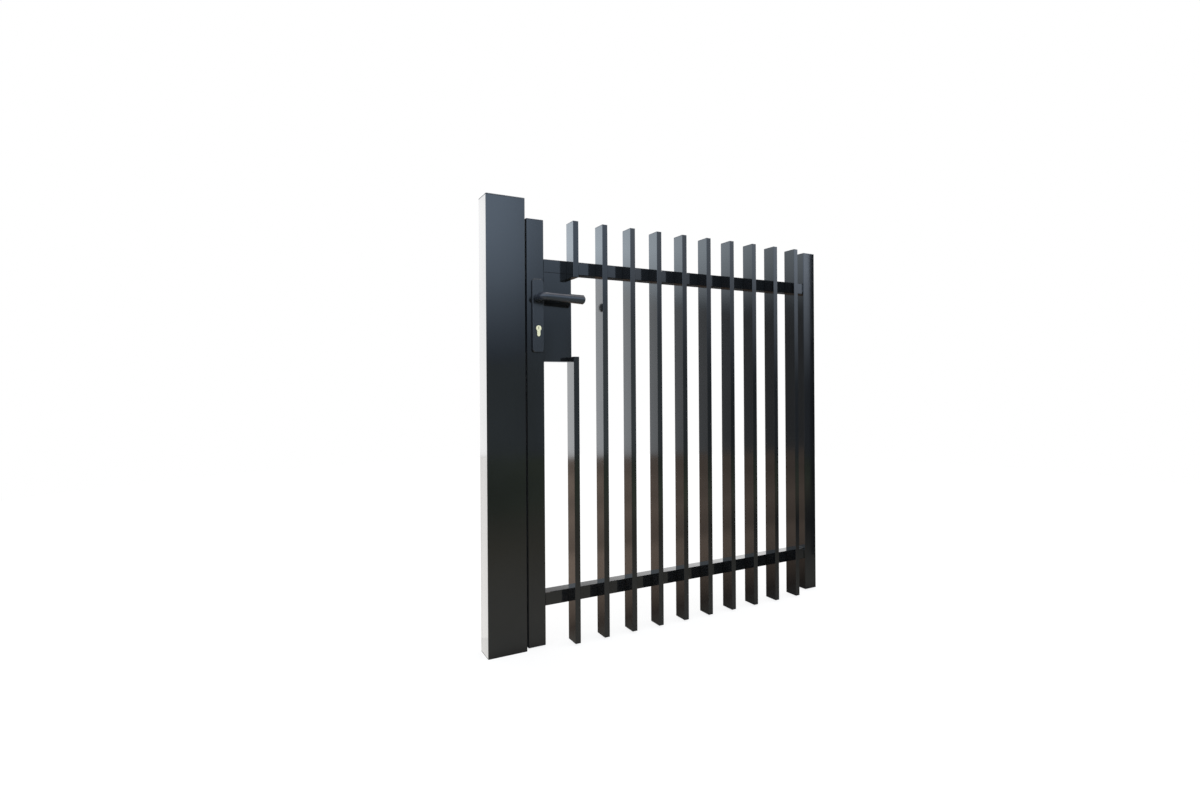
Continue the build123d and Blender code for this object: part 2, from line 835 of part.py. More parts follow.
neck_start_y = -plate_face_y - lever_gap
grub_y = (neck_start_y - stile_depth / 2 - lever_socket_depth) / 2
with BuildPart() as front_lever:
    with BuildSketch(across(-stile_depth / 2, lock_x, spindle_height)):
        Circle(lever_collar_radius)
    extrude(amount=plate_thickness + lever_gap)
    with BuildLine():
        neck = Line(
            (lock_x, neck_start_y, spindle_height),
            (lock_x, -lever_y + lever_bend, spindle_height),
        )
        TangentArc(
            neck @ 1,
            across_grip(lever_bend).origin,
            tangent=neck % 1,
        )
    with BuildSketch(across(neck_start_y, lock_x, spindle_height)):
        Circle(lever_neck_radius)
    sweep()
    with BuildSketch(across_grip(lever_bend)):
        Circle(lever_neck_radius)
    with BuildSketch(across_grip(lever_length)):
        Circle(lever_tip_radius)
    loft()
    chamfer(front_lever.faces().sort_by(Axis.X)[-1].edges(), lever_end_chamfer)
    with BuildSketch(across(-stile_depth / 2, lock_x, spindle_height)):
        Rectangle(*[spindle_side + 2 * spindle_clearance] * 2)
    extrude(amount=lever_socket_depth, mode=Mode.SUBTRACT)
    with BuildSketch(Plane.XY.offset(spindle_height - lever_neck_radius)):
        with Locations((lock_x, grub_y)):
            Circle(grub_screw_radius)
    extrude(amount=lever_neck_radius - spindle_side / 2, mode=Mode.SUBTRACT)
save(front_lever.part, "front_lever")
rear_lever = mirror(front_lever.part, about=Plane.XZ)
save(rear_lever, "rear_lever")

with BuildPart() as lever_grub_screws:
    with BuildSketch(Plane.XY.offset(spindle_height - lever_neck_radius + lever_gap)):
        with Locations((lock_x, grub_y), (lock_x, -grub_y)):
            Circle(grub_screw_radius - press_clearance)
    extrude(amount=lever_neck_radius - lever_gap - spindle_side / 2 - press_clearance)
save(lever_grub_screws.part, "lever_grub_screws")

# Handle plates, bolted together through the stile from behind
with BuildPart() as front_plate:
    add(back_plate())
    for height in bolt_axis_heights:
        with BuildSketch(across(-stile_depth / 2, lock_x, height)):
            Circle(plate_bolt_radius)
        extrude(amount=plate_bolt_engagement, mode=Mode.SUBTRACT)
save(front_plate.part, "front_plate")

with BuildPart() as rear_plate:
    add(mirror(back_plate(), about=Plane.XZ, mode=Mode.PRIVATE))
    for height in bolt_axis_heights:
        with Locations(Plane((lock_x, plate_face_y, height), x_dir=(-1, 0, 0), z_dir=(0, 1, 0))):
            CounterBoreHole(
                plate_bolt_radius + hole_clearance,
                plate_bolt_head_radius + hole_clearance,
                plate_bolt_head_depth,
            )
save(rear_plate.part, "rear_plate")

with BuildPart() as plate_bolts:
    for height in bolt_axis_heights:
        with BuildSketch(across(plate_face_y, lock_x, height)):
            Circle(plate_bolt_head_radius)
        extrude(amount=plate_bolt_head_depth)
        with BuildSketch(across(plate_face_y, lock_x, height)):
            Circle(plate_bolt_radius)
        extrude(amount=plate_face_y + stile_depth / 2 + plate_bolt_engagement)
save(plate_bolts.part, "plate_bolts")

# Profile cylinder: body, two plugs and the cam between them
with BuildPart() as cylinder_body:
    with BuildSketch(across(cylinder_length / 2, lock_x, cylinder_z)):
        profile_outline(0)
        Circle(plug_radius + running_clearance, mode=Mode.SUBTRACT)
    extrude(amount=cylinder_length)
    with BuildSketch(across(cylinder_gap / 2, lock_x, cylinder_z)):
        with Locations((0, (cylinder_barrel_radius - cylinder_bridge_drop) / 2)):
            Rectangle(
                2 * cylinder_barrel_radius,
                cylinder_barrel_radius + cylinder_bridge_drop,
            )
    extrude(amount=cylinder_gap, mode=Mode.SUBTRACT)
    with BuildSketch(facing(lock_x + cylinder_tail_width, 0, cylinder_screw_z, 1)):
        Circle(cylinder_screw_radius)
    extrude(amount=-2 * cylinder_tail_width, mode=Mode.SUBTRACT)
save(cylinder_body.part, "cylinder_body")

plug_length = cylinder_length / 2 - cam_width / 2
save(plug(-cylinder_length / 2, plug_length), "front_plug")
rear_plug = mirror(
    plug(-cylinder_length / 2, plug_length - plug_end_gap), about=Plane.XZ
)
save(rear_plug, "rear_plug")

with BuildPart() as cylinder_cam:
    with BuildSketch(across(cam_width / 2, lock_x, cylinder_z)):
        Circle(cam_hub_radius)
        with Locations((0, -cam_radius / 2)):
            Rectangle(cam_nose_width, cam_radius)
        Circle(cam_radius, mode=Mode.INTERSECT)
    extrude(amount=cam_width)
save(cylinder_cam.part, "cylinder_cam")

# Hinges behind the hinge stile
for place_name, middle in zip(("bottom", "top"), hinge_heights):
    save(hinge_leaf_plate(middle), f"{place_name}_hinge_leaf_plate")
    save(hinge_wall_plate(middle), f"{place_name}_hinge_wall_plate")
    save(hinge_pin(middle), f"{place_name}_hinge_pin")

with BuildPart() as hinge_bushes:
    for middle in hinge_heights:
        add(hinge_bush(middle))
save(hinge_bushes.part, "hinge_bushes")

with BuildPart() as hinge_screws:
    for middle in hinge_heights:
        for place in leaf_screw_places(middle):
            add(
                countersunk_screw(
                    place, hinge_screw_length, hinge_screw_radius, hinge_screw_head_radius
                )
            )
save(hinge_screws.part, "hinge_screws")
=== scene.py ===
import json
import math

import bmesh
import bpy
from mathutils import Matrix, Vector


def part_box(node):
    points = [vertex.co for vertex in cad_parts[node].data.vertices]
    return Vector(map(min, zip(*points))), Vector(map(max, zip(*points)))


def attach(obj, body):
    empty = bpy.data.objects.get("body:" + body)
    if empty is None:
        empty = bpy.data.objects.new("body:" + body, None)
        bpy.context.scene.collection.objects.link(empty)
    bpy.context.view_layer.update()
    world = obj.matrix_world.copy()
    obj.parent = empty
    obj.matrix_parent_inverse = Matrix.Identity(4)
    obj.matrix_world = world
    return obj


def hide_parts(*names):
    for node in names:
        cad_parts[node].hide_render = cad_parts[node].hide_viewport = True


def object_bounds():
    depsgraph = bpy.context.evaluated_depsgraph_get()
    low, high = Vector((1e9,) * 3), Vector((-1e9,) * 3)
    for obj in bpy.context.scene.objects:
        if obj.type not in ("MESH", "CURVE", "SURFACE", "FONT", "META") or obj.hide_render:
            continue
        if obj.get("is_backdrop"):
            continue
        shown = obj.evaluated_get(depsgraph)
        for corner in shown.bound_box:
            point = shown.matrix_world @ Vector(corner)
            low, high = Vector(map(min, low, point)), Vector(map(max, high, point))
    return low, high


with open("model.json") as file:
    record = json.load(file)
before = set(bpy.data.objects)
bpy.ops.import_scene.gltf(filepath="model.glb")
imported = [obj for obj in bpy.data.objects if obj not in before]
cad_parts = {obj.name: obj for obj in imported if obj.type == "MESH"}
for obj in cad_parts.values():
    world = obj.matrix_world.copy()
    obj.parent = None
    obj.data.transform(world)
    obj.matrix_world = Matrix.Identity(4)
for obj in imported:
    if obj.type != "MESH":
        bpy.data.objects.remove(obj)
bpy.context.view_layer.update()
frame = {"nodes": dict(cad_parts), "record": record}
nodes = frame["nodes"]
scene = bpy.context.scene

# Camera, read off the photograph
IMAGE_WIDTH = 1200
IMAGE_HEIGHT = 800
FOCAL_PIXELS = 624.0
HORIZON_PIXEL = 385.2
CAMERA_PLACE = (-1.213, -1.775, 0.788)
CAMERA_YAW = math.radians(27.68)
CAMERA_ROLL = math.radians(-0.36)
SENSOR_WIDTH = 36.0

camera_data = bpy.data.cameras.new("camera")
camera_data.sensor_fit = "HORIZONTAL"
camera_data.sensor_width = SENSOR_WIDTH
camera_data.lens = FOCAL_PIXELS / IMAGE_WIDTH * SENSOR_WIDTH
camera_data.shift_y = (HORIZON_PIXEL - IMAGE_HEIGHT / 2) / IMAGE_WIDTH
camera = bpy.data.objects.new("camera", camera_data)
scene.collection.objects.link(camera)
camera.matrix_world = (
    Matrix.Translation(CAMERA_PLACE)
    @ Matrix.Rotation(-CAMERA_YAW, 4, "Z")
    @ Matrix.Rotation(math.pi / 2, 4, "X")
    @ Matrix.Rotation(CAMERA_ROLL, 4, "Z")
)
scene.camera = camera
scene.view_settings.view_transform = "Standard"

# Node trees; the colour sockets of a Mix node have only their places to tell them apart
MIX_FACTOR, MIX_A, MIX_B, MIX_RESULT = 0, 6, 7, 2


def node(tree, kind, inputs=None, **settings):
    """Adds a shader node; each input is a plain value or the socket that feeds it."""
    made = tree.nodes.new(kind)
    for key, value in settings.items():
        setattr(made, key, value)
    for key, value in (inputs or {}).items():
        socket = made.inputs[key]
        if isinstance(value, bpy.types.NodeSocket):
            tree.links.new(value, socket)
        else:
            socket.default_value = value
    return made


def math_node(tree, operation, *values):
    made = node(tree, "ShaderNodeMath", dict(enumerate(values)), operation=operation)
    return made.outputs[0]


def remap(tree, value, low, high, to_low, to_high, smooth=False):
    made = node(
        tree,
        "ShaderNodeMapRange",
        {"Value": value, "From Min": low, "From Max": high, "To Min": to_low, "To Max": to_high},
        interpolation_type="SMOOTHSTEP" if smooth else "LINEAR",
    )
    return made.outputs["Result"]


def mix_colour(tree, factor, a, b, blend="MIX"):
    inputs = {MIX_FACTOR: factor, MIX_A: a, MIX_B: b}
    made = node(tree, "ShaderNodeMix", inputs, data_type="RGBA", blend_type=blend)
    return made.outputs[MIX_RESULT]


def noise(tree, vector, scale, detail=2.0, roughness=0.5):
    inputs = {"Vector": vector, "Scale": scale, "Detail": detail, "Roughness": roughness}
    return node(tree, "ShaderNodeTexNoise", inputs).outputs["Fac"]


def rgb(r, g, b):
    return (r, g, b, 1.0)


def bare_material(name):
    material = bpy.data.materials.new(name)
    material.use_nodes = True
    material.node_tree.nodes.clear()
    return material, material.node_tree


# Materials
NOISE_LOW, NOISE_HIGH = 0.3, 0.7
CLOUD_SCALE, CLOUD_DETAIL, CLOUD_SHARE = 7.0, 3.0, 0.55
SPECK_SCALE, SPECK_DETAIL, SPECK_SHARE = 1800.0, 1.0, 0.45
PEEL_DETAIL = 1.5
LINE_ROUGHNESS = 0.6
DRAWN_DETAIL, BRUSHED_DETAIL = 2.0, 3.0
STAIN_SCALE = 40.0
DUST_ROUGHNESS = 0.75
DUST_FADE = 0.0006


def surface_material(name):
    """A material with a plain surface, and the place on the object to draw it by."""
    material, tree = bare_material(name)
    shader = node(tree, "ShaderNodeBsdfPrincipled")
    node(tree, "ShaderNodeOutputMaterial", {"Surface": shader.outputs[0]})
    place = node(tree, "ShaderNodeTexCoord").outputs["Object"]
    return material, tree, shader, place


def spread(tree, value, low, high):
    """Stretches the middle of a noise over low to high."""
    return remap(tree, value, NOISE_LOW, NOISE_HIGH, low, high)


def fine_lines(tree, place, scale, detail):
    """Lines along the axis whose scale is small."""
    stretched = node(tree, "ShaderNodeMapping", {"Vector": place, "Scale": scale}).outputs[0]
    return noise(tree, stretched, 1.0, detail, LINE_ROUGHNESS)


def bump(tree, shader, height, distance):
    inputs = {"Height": height, "Distance": distance, "Strength": 1.0}
    made = node(tree, "ShaderNodeBump", inputs)
    tree.links.new(made.outputs["Normal"], shader.inputs["Normal"])


def coating(name, dark, light, rough, peel_scale, peel_depth, lines=None, dusty=None):
    """A baked powder coat or moulded skin: cloudy tone, fine speckle and an orange-peel surface.

    lines gives the scale of the faint drawing marks of the tube below, small along the tube.
    dusty gives the middle and half width of a gap, along X, whose faces dust has dulled.
    """
    material, tree, shader, place = surface_material(name)
    cloud = noise(tree, place, CLOUD_SCALE, CLOUD_DETAIL)
    speck = noise(tree, place, SPECK_SCALE, SPECK_DETAIL)
    patches = spread(tree, cloud, 0.0, CLOUD_SHARE)
    tone = math_node(tree, "MULTIPLY_ADD", speck, SPECK_SHARE, patches)
    tree.links.new(mix_colour(tree, tone, dark, light), shader.inputs["Base Color"])
    gloss = spread(tree, cloud, *rough)
    if dusty:
        middle, half_width = dusty
        across = node(tree, "ShaderNodeSeparateXYZ", {"Vector": place}).outputs["X"]
        off = math_node(tree, "ABSOLUTE", math_node(tree, "SUBTRACT", across, middle))
        film = remap(tree, off, half_width, half_width + DUST_FADE, DUST_ROUGHNESS, 0.0)
        gloss = math_node(tree, "MAXIMUM", gloss, film)
    tree.links.new(gloss, shader.inputs["Roughness"])
    height = noise(tree, place, peel_scale, PEEL_DETAIL)
    if lines:
        height = math_node(tree, "ADD", height, fine_lines(tree, place, lines, DRAWN_DETAIL))
    bump(tree, shader, height, peel_depth)
    return material


def metal(name, dark, light, rough, grain, grain_depth):
    """A brushed or turned metal: fine lines along one axis, toned and roughened along them."""
    material, tree, shader, place = surface_material(name)
    shader.inputs["Metallic"].default_value = 1.0
    lines = fine_lines(tree, place, grain, BRUSHED_DETAIL)
    stain = noise(tree, place, STAIN_SCALE)
    tone = mix_colour(tree, spread(tree, lines, 0.0, 1.0), dark, light)
    tree.links.new(tone, shader.inputs["Base Color"])
    tree.links.new(spread(tree, stain, *rough), shader.inputs["Roughness"])
    bump(tree, shader, lines, grain_depth)
    return material


UPRIGHT_LINES = (420.0, 420.0, 1.1)
LEVEL_LINES = (1.1, 420.0, 420.0)
GATE_COAT = {
    "dark": rgb(0.0048, 0.0050, 0.0054),
    "light": rgb(0.0078, 0.0081, 0.0087),
    "rough": (0.07, 0.11),
    "peel_scale": 300.0,
    "peel_depth": 0.00001,
}
GAP_MARGIN = 0.0001
post_face, stile_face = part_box("lock_post")[1].x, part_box("lock_stile")[0].x
CLOSING_GAP = ((post_face + stile_face) / 2, (stile_face - post_face) / 2 + GAP_MARGIN)
gate_coat = coating("gate_coat", **GATE_COAT, lines=UPRIGHT_LINES, dusty=CLOSING_GAP)
rail_coat = coating("rail_coat", **GATE_COAT, lines=LEVEL_LINES)
hinge_coat = coating(
    "hinge_coat",
    dark=rgb(0.012, 0.012, 0.013),
    light=rgb(0.020, 0.020, 0.021),
    rough=(0.24, 0.34),
    peel_scale=600.0,
    peel_depth=0.00006,
)
handle_coat = coating(
    "handle_coat",
    dark=rgb(0.0085, 0.0092, 0.0112),
    light=rgb(0.0135, 0.0145, 0.0172),
    rough=(0.19, 0.25),
    peel_scale=1500.0,
    peel_depth=0.00002,
)
# The levers take a lighter copy of the handle coat, painted light for the sky that the levers
# catch.
lever_coat_painted_lit = coating(
    "lever_coat_painted_lit",
    dark=rgb(0.024, 0.027, 0.035),
    light=rgb(0.034, 0.038, 0.048),
    rough=(0.23, 0.29),
    peel_scale=1500.0,
    peel_depth=0.00002,
)
# One cap plastic in two copies: the lighter one for the upper caps is painted light, the darker
# one for the lower caps and the caps under the lock box is painted shade.
cap_skin_painted_lit = coating(
    "cap_skin_painted_lit",
    dark=rgb(0.080, 0.083, 0.090),
    light=rgb(0.115, 0.119, 0.127),
    rough=(0.50, 0.60),
    peel_scale=1600.0,
    peel_depth=0.00005,
)
cap_skin_shaded = coating(
    "cap_skin_shaded",
    dark=rgb(0.013, 0.0135, 0.0145),
    light=rgb(0.022, 0.0225, 0.024),
    rough=(0.44, 0.54),
    peel_scale=1600.0,
    peel_depth=0.00005,
)
bush_skin = coating(
    "bush_skin",
    dark=rgb(0.055, 0.056, 0.058),
    light=rgb(0.085, 0.085, 0.086),
    rough=(0.42, 0.52),
    peel_scale=1200.0,
    peel_depth=0.00004,
)
steel = metal(
    "steel",
    dark=rgb(0.50, 0.50, 0.51),
    light=rgb(0.66, 0.66, 0.66),
    rough=(0.24, 0.34),
    grain=(160, 160, 2600),
    grain_depth=0.00002,
)
brass = metal(
    "brass",
    dark=rgb(0.92, 0.75, 0.42),
    light=rgb(0.99, 0.87, 0.56),
    rough=(0.26, 0.36),
    grain=(2400, 300, 2400),
    grain_depth=0.000015,
)

SLOT_MATERIALS = {
    "gate_coating": gate_coat,
    "cap_plastic": cap_skin_painted_lit,
    "handle_coating": handle_coat,
    "hinge_coating": hinge_coat,
    "stainless_steel": steel,
    "cylinder_brass": brass,
    "bush_polymer": bush_skin,
}
RAIL_NAMES = ("bottom_rail", "top_rail")
LEVER_NAMES = ("front_lever", "rear_lever")


def dress(piece, material):
    piece.data.materials.clear()
    piece.data.materials.append(material)


NODE_SLOTS = {part["node"]: part["material_slot"] for part in frame["record"]["subparts"]}
for name, piece in nodes.items():
    dress(piece, SLOT_MATERIALS[NODE_SLOTS[name]])
for name in RAIL_NAMES:
    dress(nodes[name], rail_coat)
# The levers are dressed in the lighter, painted-light copy of the handle coat.
for name in LEVER_NAMES:
    dress(nodes[name], lever_coat_painted_lit)

# Pieces that stand for CAD nodes or are added to them
SHARP_ANGLE = math.radians(32.0)


def add_piece(name, shape, material, slot, body, *stands_for):
    """Makes the bmesh a smooth-shaded piece that moves with a body."""
    bmesh.ops.recalc_face_normals(shape, faces=shape.faces)
    mesh = bpy.data.meshes.new(name)
    shape.to_mesh(mesh)
    shape.free()
    mesh.shade_smooth()
    mesh.set_sharp_from_angle(angle=SHARP_ANGLE)
    piece = bpy.data.objects.new(name, mesh)
    scene.collection.objects.link(piece)
    mesh.materials.append(material)
    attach(piece, body)
    if stands_for:
        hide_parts(*stands_for)


def loft(shape, rings, matrix):
    """Joins rings of equally many points with quads and closes both ends."""
    made = [[shape.verts.new(matrix @ Vector(point)) for point in ring] for ring in rings]
    count = len(made[0])
    for lower, upper in zip(made, made[1:]):
        for k in range(count):
            follow = (k + 1) % count
            shape.faces.new((lower[k], lower[follow], upper[follow], upper[k]))
    shape.faces.new(list(reversed(made[0])))
    shape.faces.new(made[-1])


# End caps: thickness and corner radius of each kind, and their shares of the thickness
POST_CAP = (0.0040, 0.0022)
STILE_CAP = (0.0030, 0.0019)
BLADE_CAP = (0.0020, 0.0011)
CAP_SEAM = 0.30
CAP_ROUND = 0.55
CAP_DISH = 0.12
CAP_DISH_INSET = 0.10
CAP_LEAST_CORNER = 0.15
CAP_STEPS = 4
CORNER_POINTS = 5


def round_rectangle(width, depth, radius, z):
    """The points of a rectangle with rounded corners about the origin, at height z."""
    points = []
    for corner in range(4):
        centre_x = (width / 2 - radius) * (1 if corner in (0, 3) else -1)
        centre_y = (depth / 2 - radius) * (1 if corner in (0, 1) else -1)
        for step in range(CORNER_POINTS):
            angle = math.pi / 2 * (corner + step / (CORNER_POINTS - 1))
            x = centre_x + radius * math.cos(angle)
            y = centre_y + radius * math.sin(angle)
            points.append((x, y, z))
    return points


def moulded_cap(shape, low, high, thickness, corner, up):
    """One end cap over a box's plan: a seam groove, rounded rim and a slightly dished top."""
    width = high[0] - low[0]
    depth = high[1] - low[1]
    seam = CAP_SEAM * thickness
    rim = CAP_ROUND * thickness
    profile = [(seam, 0.0), (0.0, seam)]
    for step in range(CAP_STEPS + 1):
        angle = math.pi / 2 * step / CAP_STEPS
        profile.append((rim * (1 - math.cos(angle)), thickness - rim * (1 - math.sin(angle))))
    profile.append((rim + CAP_DISH_INSET * depth, thickness - CAP_DISH * thickness))
    rings = []
    for inset, height in profile:
        radius = max(corner - inset, CAP_LEAST_CORNER * corner)
        rings.append(round_rectangle(width - 2 * inset, depth - 2 * inset, radius, height))
    middle = ((low[0] + high[0]) / 2, (low[1] + high[1]) / 2, high[2] if up else low[2])
    flip = Matrix.Diagonal((1.0, 1.0, 1.0 if up else -1.0, 1.0))
    loft(shape, rings, Matrix.Translation(middle) @ flip)


def ends(names, up):
    return [(name, up) for name in names]


STILES = ["lock_stile", "hinge_stile"]
BLADES = ["blade_%02d" % number for number in range(2, 11)]
UPPER_BLADES = BLADES + ["blade_01_upper"]
LOWER_BLADES = BLADES + ["blade_01_lower"]
CUT_ENDS = [("blade_01_lower", True), ("blade_01_upper", False)]

# Upper caps take the painted-light skin; lower caps and the caps at the lock box take the
# painted-shade skin.
# Piece, the CAD node that it stands for, body, material, size, tube ends
CAP_SETS = (
    ("post_top_cap", "post_cap", "fixed_side", cap_skin_painted_lit, POST_CAP, ends(["lock_post"], True)),
    ("stile_caps_upper", "stile_top_caps", "leaf", cap_skin_painted_lit, STILE_CAP, ends(STILES, True)),
    (
        "stile_caps_lower", "stile_bottom_caps", "leaf",
        cap_skin_shaded, STILE_CAP, ends(STILES, False),
    ),
    ("blade_caps_upper", "blade_top_caps", "leaf", cap_skin_painted_lit, BLADE_CAP, ends(UPPER_BLADES, True)),
    (
        "blade_caps_lower", "blade_bottom_caps", "leaf",
        cap_skin_shaded, BLADE_CAP, ends(LOWER_BLADES, False),
    ),
    ("blade_caps_at_box", "cut_blade_caps", "leaf", cap_skin_shaded, BLADE_CAP, CUT_ENDS),
)
for name, node_name, body, skin, (thickness, corner), tube_ends in CAP_SETS:
    caps = bmesh.new()
    for tube, up in tube_ends:
        low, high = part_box(tube)
        moulded_cap(caps, low, high, thickness, corner, up)
    add_piece(name, caps, skin, NODE_SLOTS[node_name], body, node_name)

# Screws, in shares of the radius of the head or shank
SCREW_SIDES = 24
THREAD_PITCH = 0.0012
THREAD_ROOT = 0.86
TIP_LENGTH, TIP_RADIUS = 0.6, 0.5
SOCKET_RADIUS = 0.52
SOCKET_FLOOR, SOCKET_POINT = 0.30, 0.06
SOCKET_LIP, SOCKET_LIP_DEPTH = 0.57, 0.05
FACE_INNER, FACE_OUTER = 0.68, 0.92
SUNK_EDGE, CAP_EDGE = 0.06, 0.10

# Depths of the sockets, in shares of the head's depth or the set screw's length
SUNK_SOCKET, CAP_SOCKET, SET_SOCKET = 0.62, 0.6, 0.4


def circle_ring(radius, z):
    turns = [2 * math.pi * k / SCREW_SIDES for k in range(SCREW_SIDES)]
    return [(radius * math.cos(a), radius * math.sin(a), z) for a in turns]


def hexagon_ring(radius, z):
    """As many points as a circle ring has, along a hexagon of that corner radius."""
    points = []
    for k in range(SCREW_SIDES):
        a = 2 * math.pi * k / SCREW_SIDES
        within = a % (math.pi / 3) - math.pi / 6
        reach = radius * math.cos(math.pi / 6) / math.cos(within)
        points.append((reach * math.cos(a), reach * math.sin(a), z))
    return points


def socket_rings(head, depth):
    """The hexagon socket and the face of a head, from the bottom of the socket outwards."""
    return [
        hexagon_ring(SOCKET_FLOOR * head, -depth - SOCKET_POINT * head),
        hexagon_ring(SOCKET_RADIUS * head, -depth),
        hexagon_ring(SOCKET_RADIUS * head, -SOCKET_LIP_DEPTH * head),
        hexagon_ring(SOCKET_LIP * head, 0.0),
        circle_ring(FACE_INNER * head, 0.0),
        circle_ring(FACE_OUTER * head, 0.0),
    ]


def thread_rings(shank, start, end):
    """Crests and roots from start down to end, closed by a short bevelled tip."""
    rings = []
    tip = TIP_LENGTH * shank
    count = max(2, int((start - end - tip) / THREAD_PITCH))
    for step in range(count + 1):
        z = start - step * THREAD_PITCH
        rings.append(circle_ring(shank, z))
        rings.append(circle_ring(THREAD_ROOT * shank, z - THREAD_PITCH / 2))
    rings.append(circle_ring(THREAD_ROOT * shank, end + tip))
    rings.append(circle_ring(TIP_RADIUS * shank, end))
    return rings


def countersunk_rings(head, shank, length):
    taper = head - shank
    rings = socket_rings(head, SUNK_SOCKET * taper)
    rings.append(circle_ring(head, -SUNK_EDGE * head))
    rings.append(circle_ring(shank, -taper))
    return rings + thread_rings(shank, -taper - THREAD_PITCH, -length)


def cap_head_rings(head, shank, head_depth, length):
    rings = socket_rings(head, CAP_SOCKET * head_depth)
    rings.append(circle_ring(head, -CAP_EDGE * head))
    rings.append(circle_ring(head, -head_depth))
    rings.append(circle_ring(shank, -head_depth))
    return rings + thread_rings(shank, -head_depth - THREAD_PITCH, -length)


def set_screw_rings(shank, length):
    rings = socket_rings(shank, SET_SOCKET * length)
    return rings + thread_rings(shank, -THREAD_PITCH / 2, -length)


FACING = {
    "+x": Matrix.Rotation(math.pi / 2, 4, "Y"),
    "-x": Matrix.Rotation(-math.pi / 2, 4, "Y"),
    "+y": Matrix.Rotation(-math.pi / 2, 4, "X"),
    "-z": Matrix.Rotation(math.pi, 4, "X"),
}


def fasteners(name, node_name, body, facing, places, rings):
    """Detailed screws in place of a fastener node; each place is the middle of a head's face."""
    shape = bmesh.new()
    for place in places:
        loft(shape, rings, Matrix.Translation(place) @ FACING[facing])
    add_piece(name, shape, steel, NODE_SLOTS[node_name], body, node_name)


LOCK_X = -0.506
KEEP_FACE_X, FOREND_FACE_X = -0.546, -0.543
REAR_PLATE_Y = 0.033
GRUB_Y, GRUB_Z = 0.04125, 1.0403
HINGE_LEAF_X, HINGE_LEAF_Y = 0.618, 0.030
PLATE_SCREW = countersunk_rings(head=0.0038, shank=0.002, length=0.014)
fasteners(
    "hinge_screw_set", "hinge_screws", "leaf", "+y",
    [(HINGE_LEAF_X, HINGE_LEAF_Y, z) for z in (0.105, 0.175, 1.117, 1.187)],
    countersunk_rings(head=0.0075, shank=0.004, length=0.018),
)
fasteners(
    "keep_screw_set", "keep_screws", "fixed_side", "+x",
    [(KEEP_FACE_X, 0.0, z) for z in (0.968, 1.094)],
    PLATE_SCREW,
)
fasteners(
    "forend_screw_set", "forend_screws", "leaf", "-x",
    [(FOREND_FACE_X, 0.0, z) for z in (0.909, 1.099)],
    PLATE_SCREW,
)
fasteners(
    "cylinder_screw_set", "cylinder_screw", "leaf", "-x",
    [(FOREND_FACE_X, 0.0, 0.9405)],
    countersunk_rings(head=0.0044, shank=0.0025, length=0.042),
)
fasteners(
    "plate_bolt_set", "plate_bolts", "leaf", "+y",
    [(LOCK_X, REAR_PLATE_Y, z) for z in (0.912, 1.092)],
    cap_head_rings(head=0.0046, shank=0.0025, head_depth=0.003, length=0.064),
)
fasteners(
    "grub_screw_set", "lever_grub_screws", "handle", "-z",
    [(LOCK_X, y, GRUB_Z) for y in (-GRUB_Y, GRUB_Y)],
    set_screw_rings(shank=0.00247, length=0.0077),
)

# Weld beads
BEAD_LEG = 0.0021
BEAD_STEP = 0.0019
BEAD_LEAST_STEPS = 6
BEAD_POINTS = 5
BEAD_ROOT = 0.0002
BEAD_THROAT, BEAD_TOES = 0.80, 0.20
BEAD_START, BEAD_RISE = 0.35, 6.0
RIPPLE, RIPPLE_TURN = 0.10, 2.4
DRIFT, DRIFT_TURN = 0.05, 0.7
WELD_END = 0.003
STITCH = 0.026
STITCH_SHARES = (0.10, 0.37, 0.63, 0.90)
LEFT, RIGHT = (-1.0, 0.0, 0.0), (1.0, 0.0, 0.0)
FRONT, REAR = (0.0, -1.0, 0.0), (0.0, 1.0, 0.0)
DOWN, UP = (0.0, 0.0, -1.0), (0.0, 0.0, 1.0)


def weld_bead(shape, ends, along_a, along_b):
    """A rippled fillet in the corner between two ends; along_a and along_b lie in its faces."""
    start, end, along_a, along_b = (Vector(value) for value in (*ends, along_a, along_b))
    count = max(BEAD_LEAST_STEPS, int((end - start).length / BEAD_STEP))
    rings = []
    for step in range(count + 1):
        share = step / count
        swell = min(1.0, BEAD_START + BEAD_RISE * min(share, 1 - share))
        ripple = RIPPLE * math.sin(RIPPLE_TURN * step)
        drift = DRIFT * math.sin(DRIFT_TURN * step)
        leg = BEAD_LEG * swell * (1.0 + ripple + drift)
        corner = start.lerp(end, share)
        ring = [corner - (along_a + along_b) * BEAD_ROOT]
        for k in range(BEAD_POINTS):
            angle = math.pi / 2 * k / (BEAD_POINTS - 1)
            reach = leg * (BEAD_THROAT + BEAD_TOES * abs(math.cos(2 * angle)))
            side_a = along_a * (reach * math.cos(angle))
            side_b = along_b * (reach * math.sin(angle))
            ring.append(corner + side_a + side_b)
        rings.append(ring)
    loft(shape, rings, Matrix.Identity(4))


def along_x(low, high, y, z):
    return (low[0] + WELD_END, y, z), (high[0] - WELD_END, y, z)


def along_y(low, high, x, z):
    return (x, low[1] + WELD_END, z), (x, high[1] - WELD_END, z)


def along_z(low, high, x, y):
    return (x, y, low[2] + WELD_END), (x, y, high[2] - WELD_END)


CROSSINGS = [(blade, rail) for blade in BLADES for rail in RAIL_NAMES]
CROSSINGS += [("blade_01_lower", "bottom_rail"), ("blade_01_upper", "top_rail")]
blade_welds = bmesh.new()
for blade, rail in CROSSINGS:
    low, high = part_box(blade)
    rail_low, rail_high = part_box(rail)
    for z, upward in ((rail_low[2], DOWN), (rail_high[2], UP)):
        weld_bead(blade_welds, along_x(low, high, rail_low[1], z), REAR, upward)
add_piece("blade_welds", blade_welds, gate_coat, "gate_coating", "leaf")

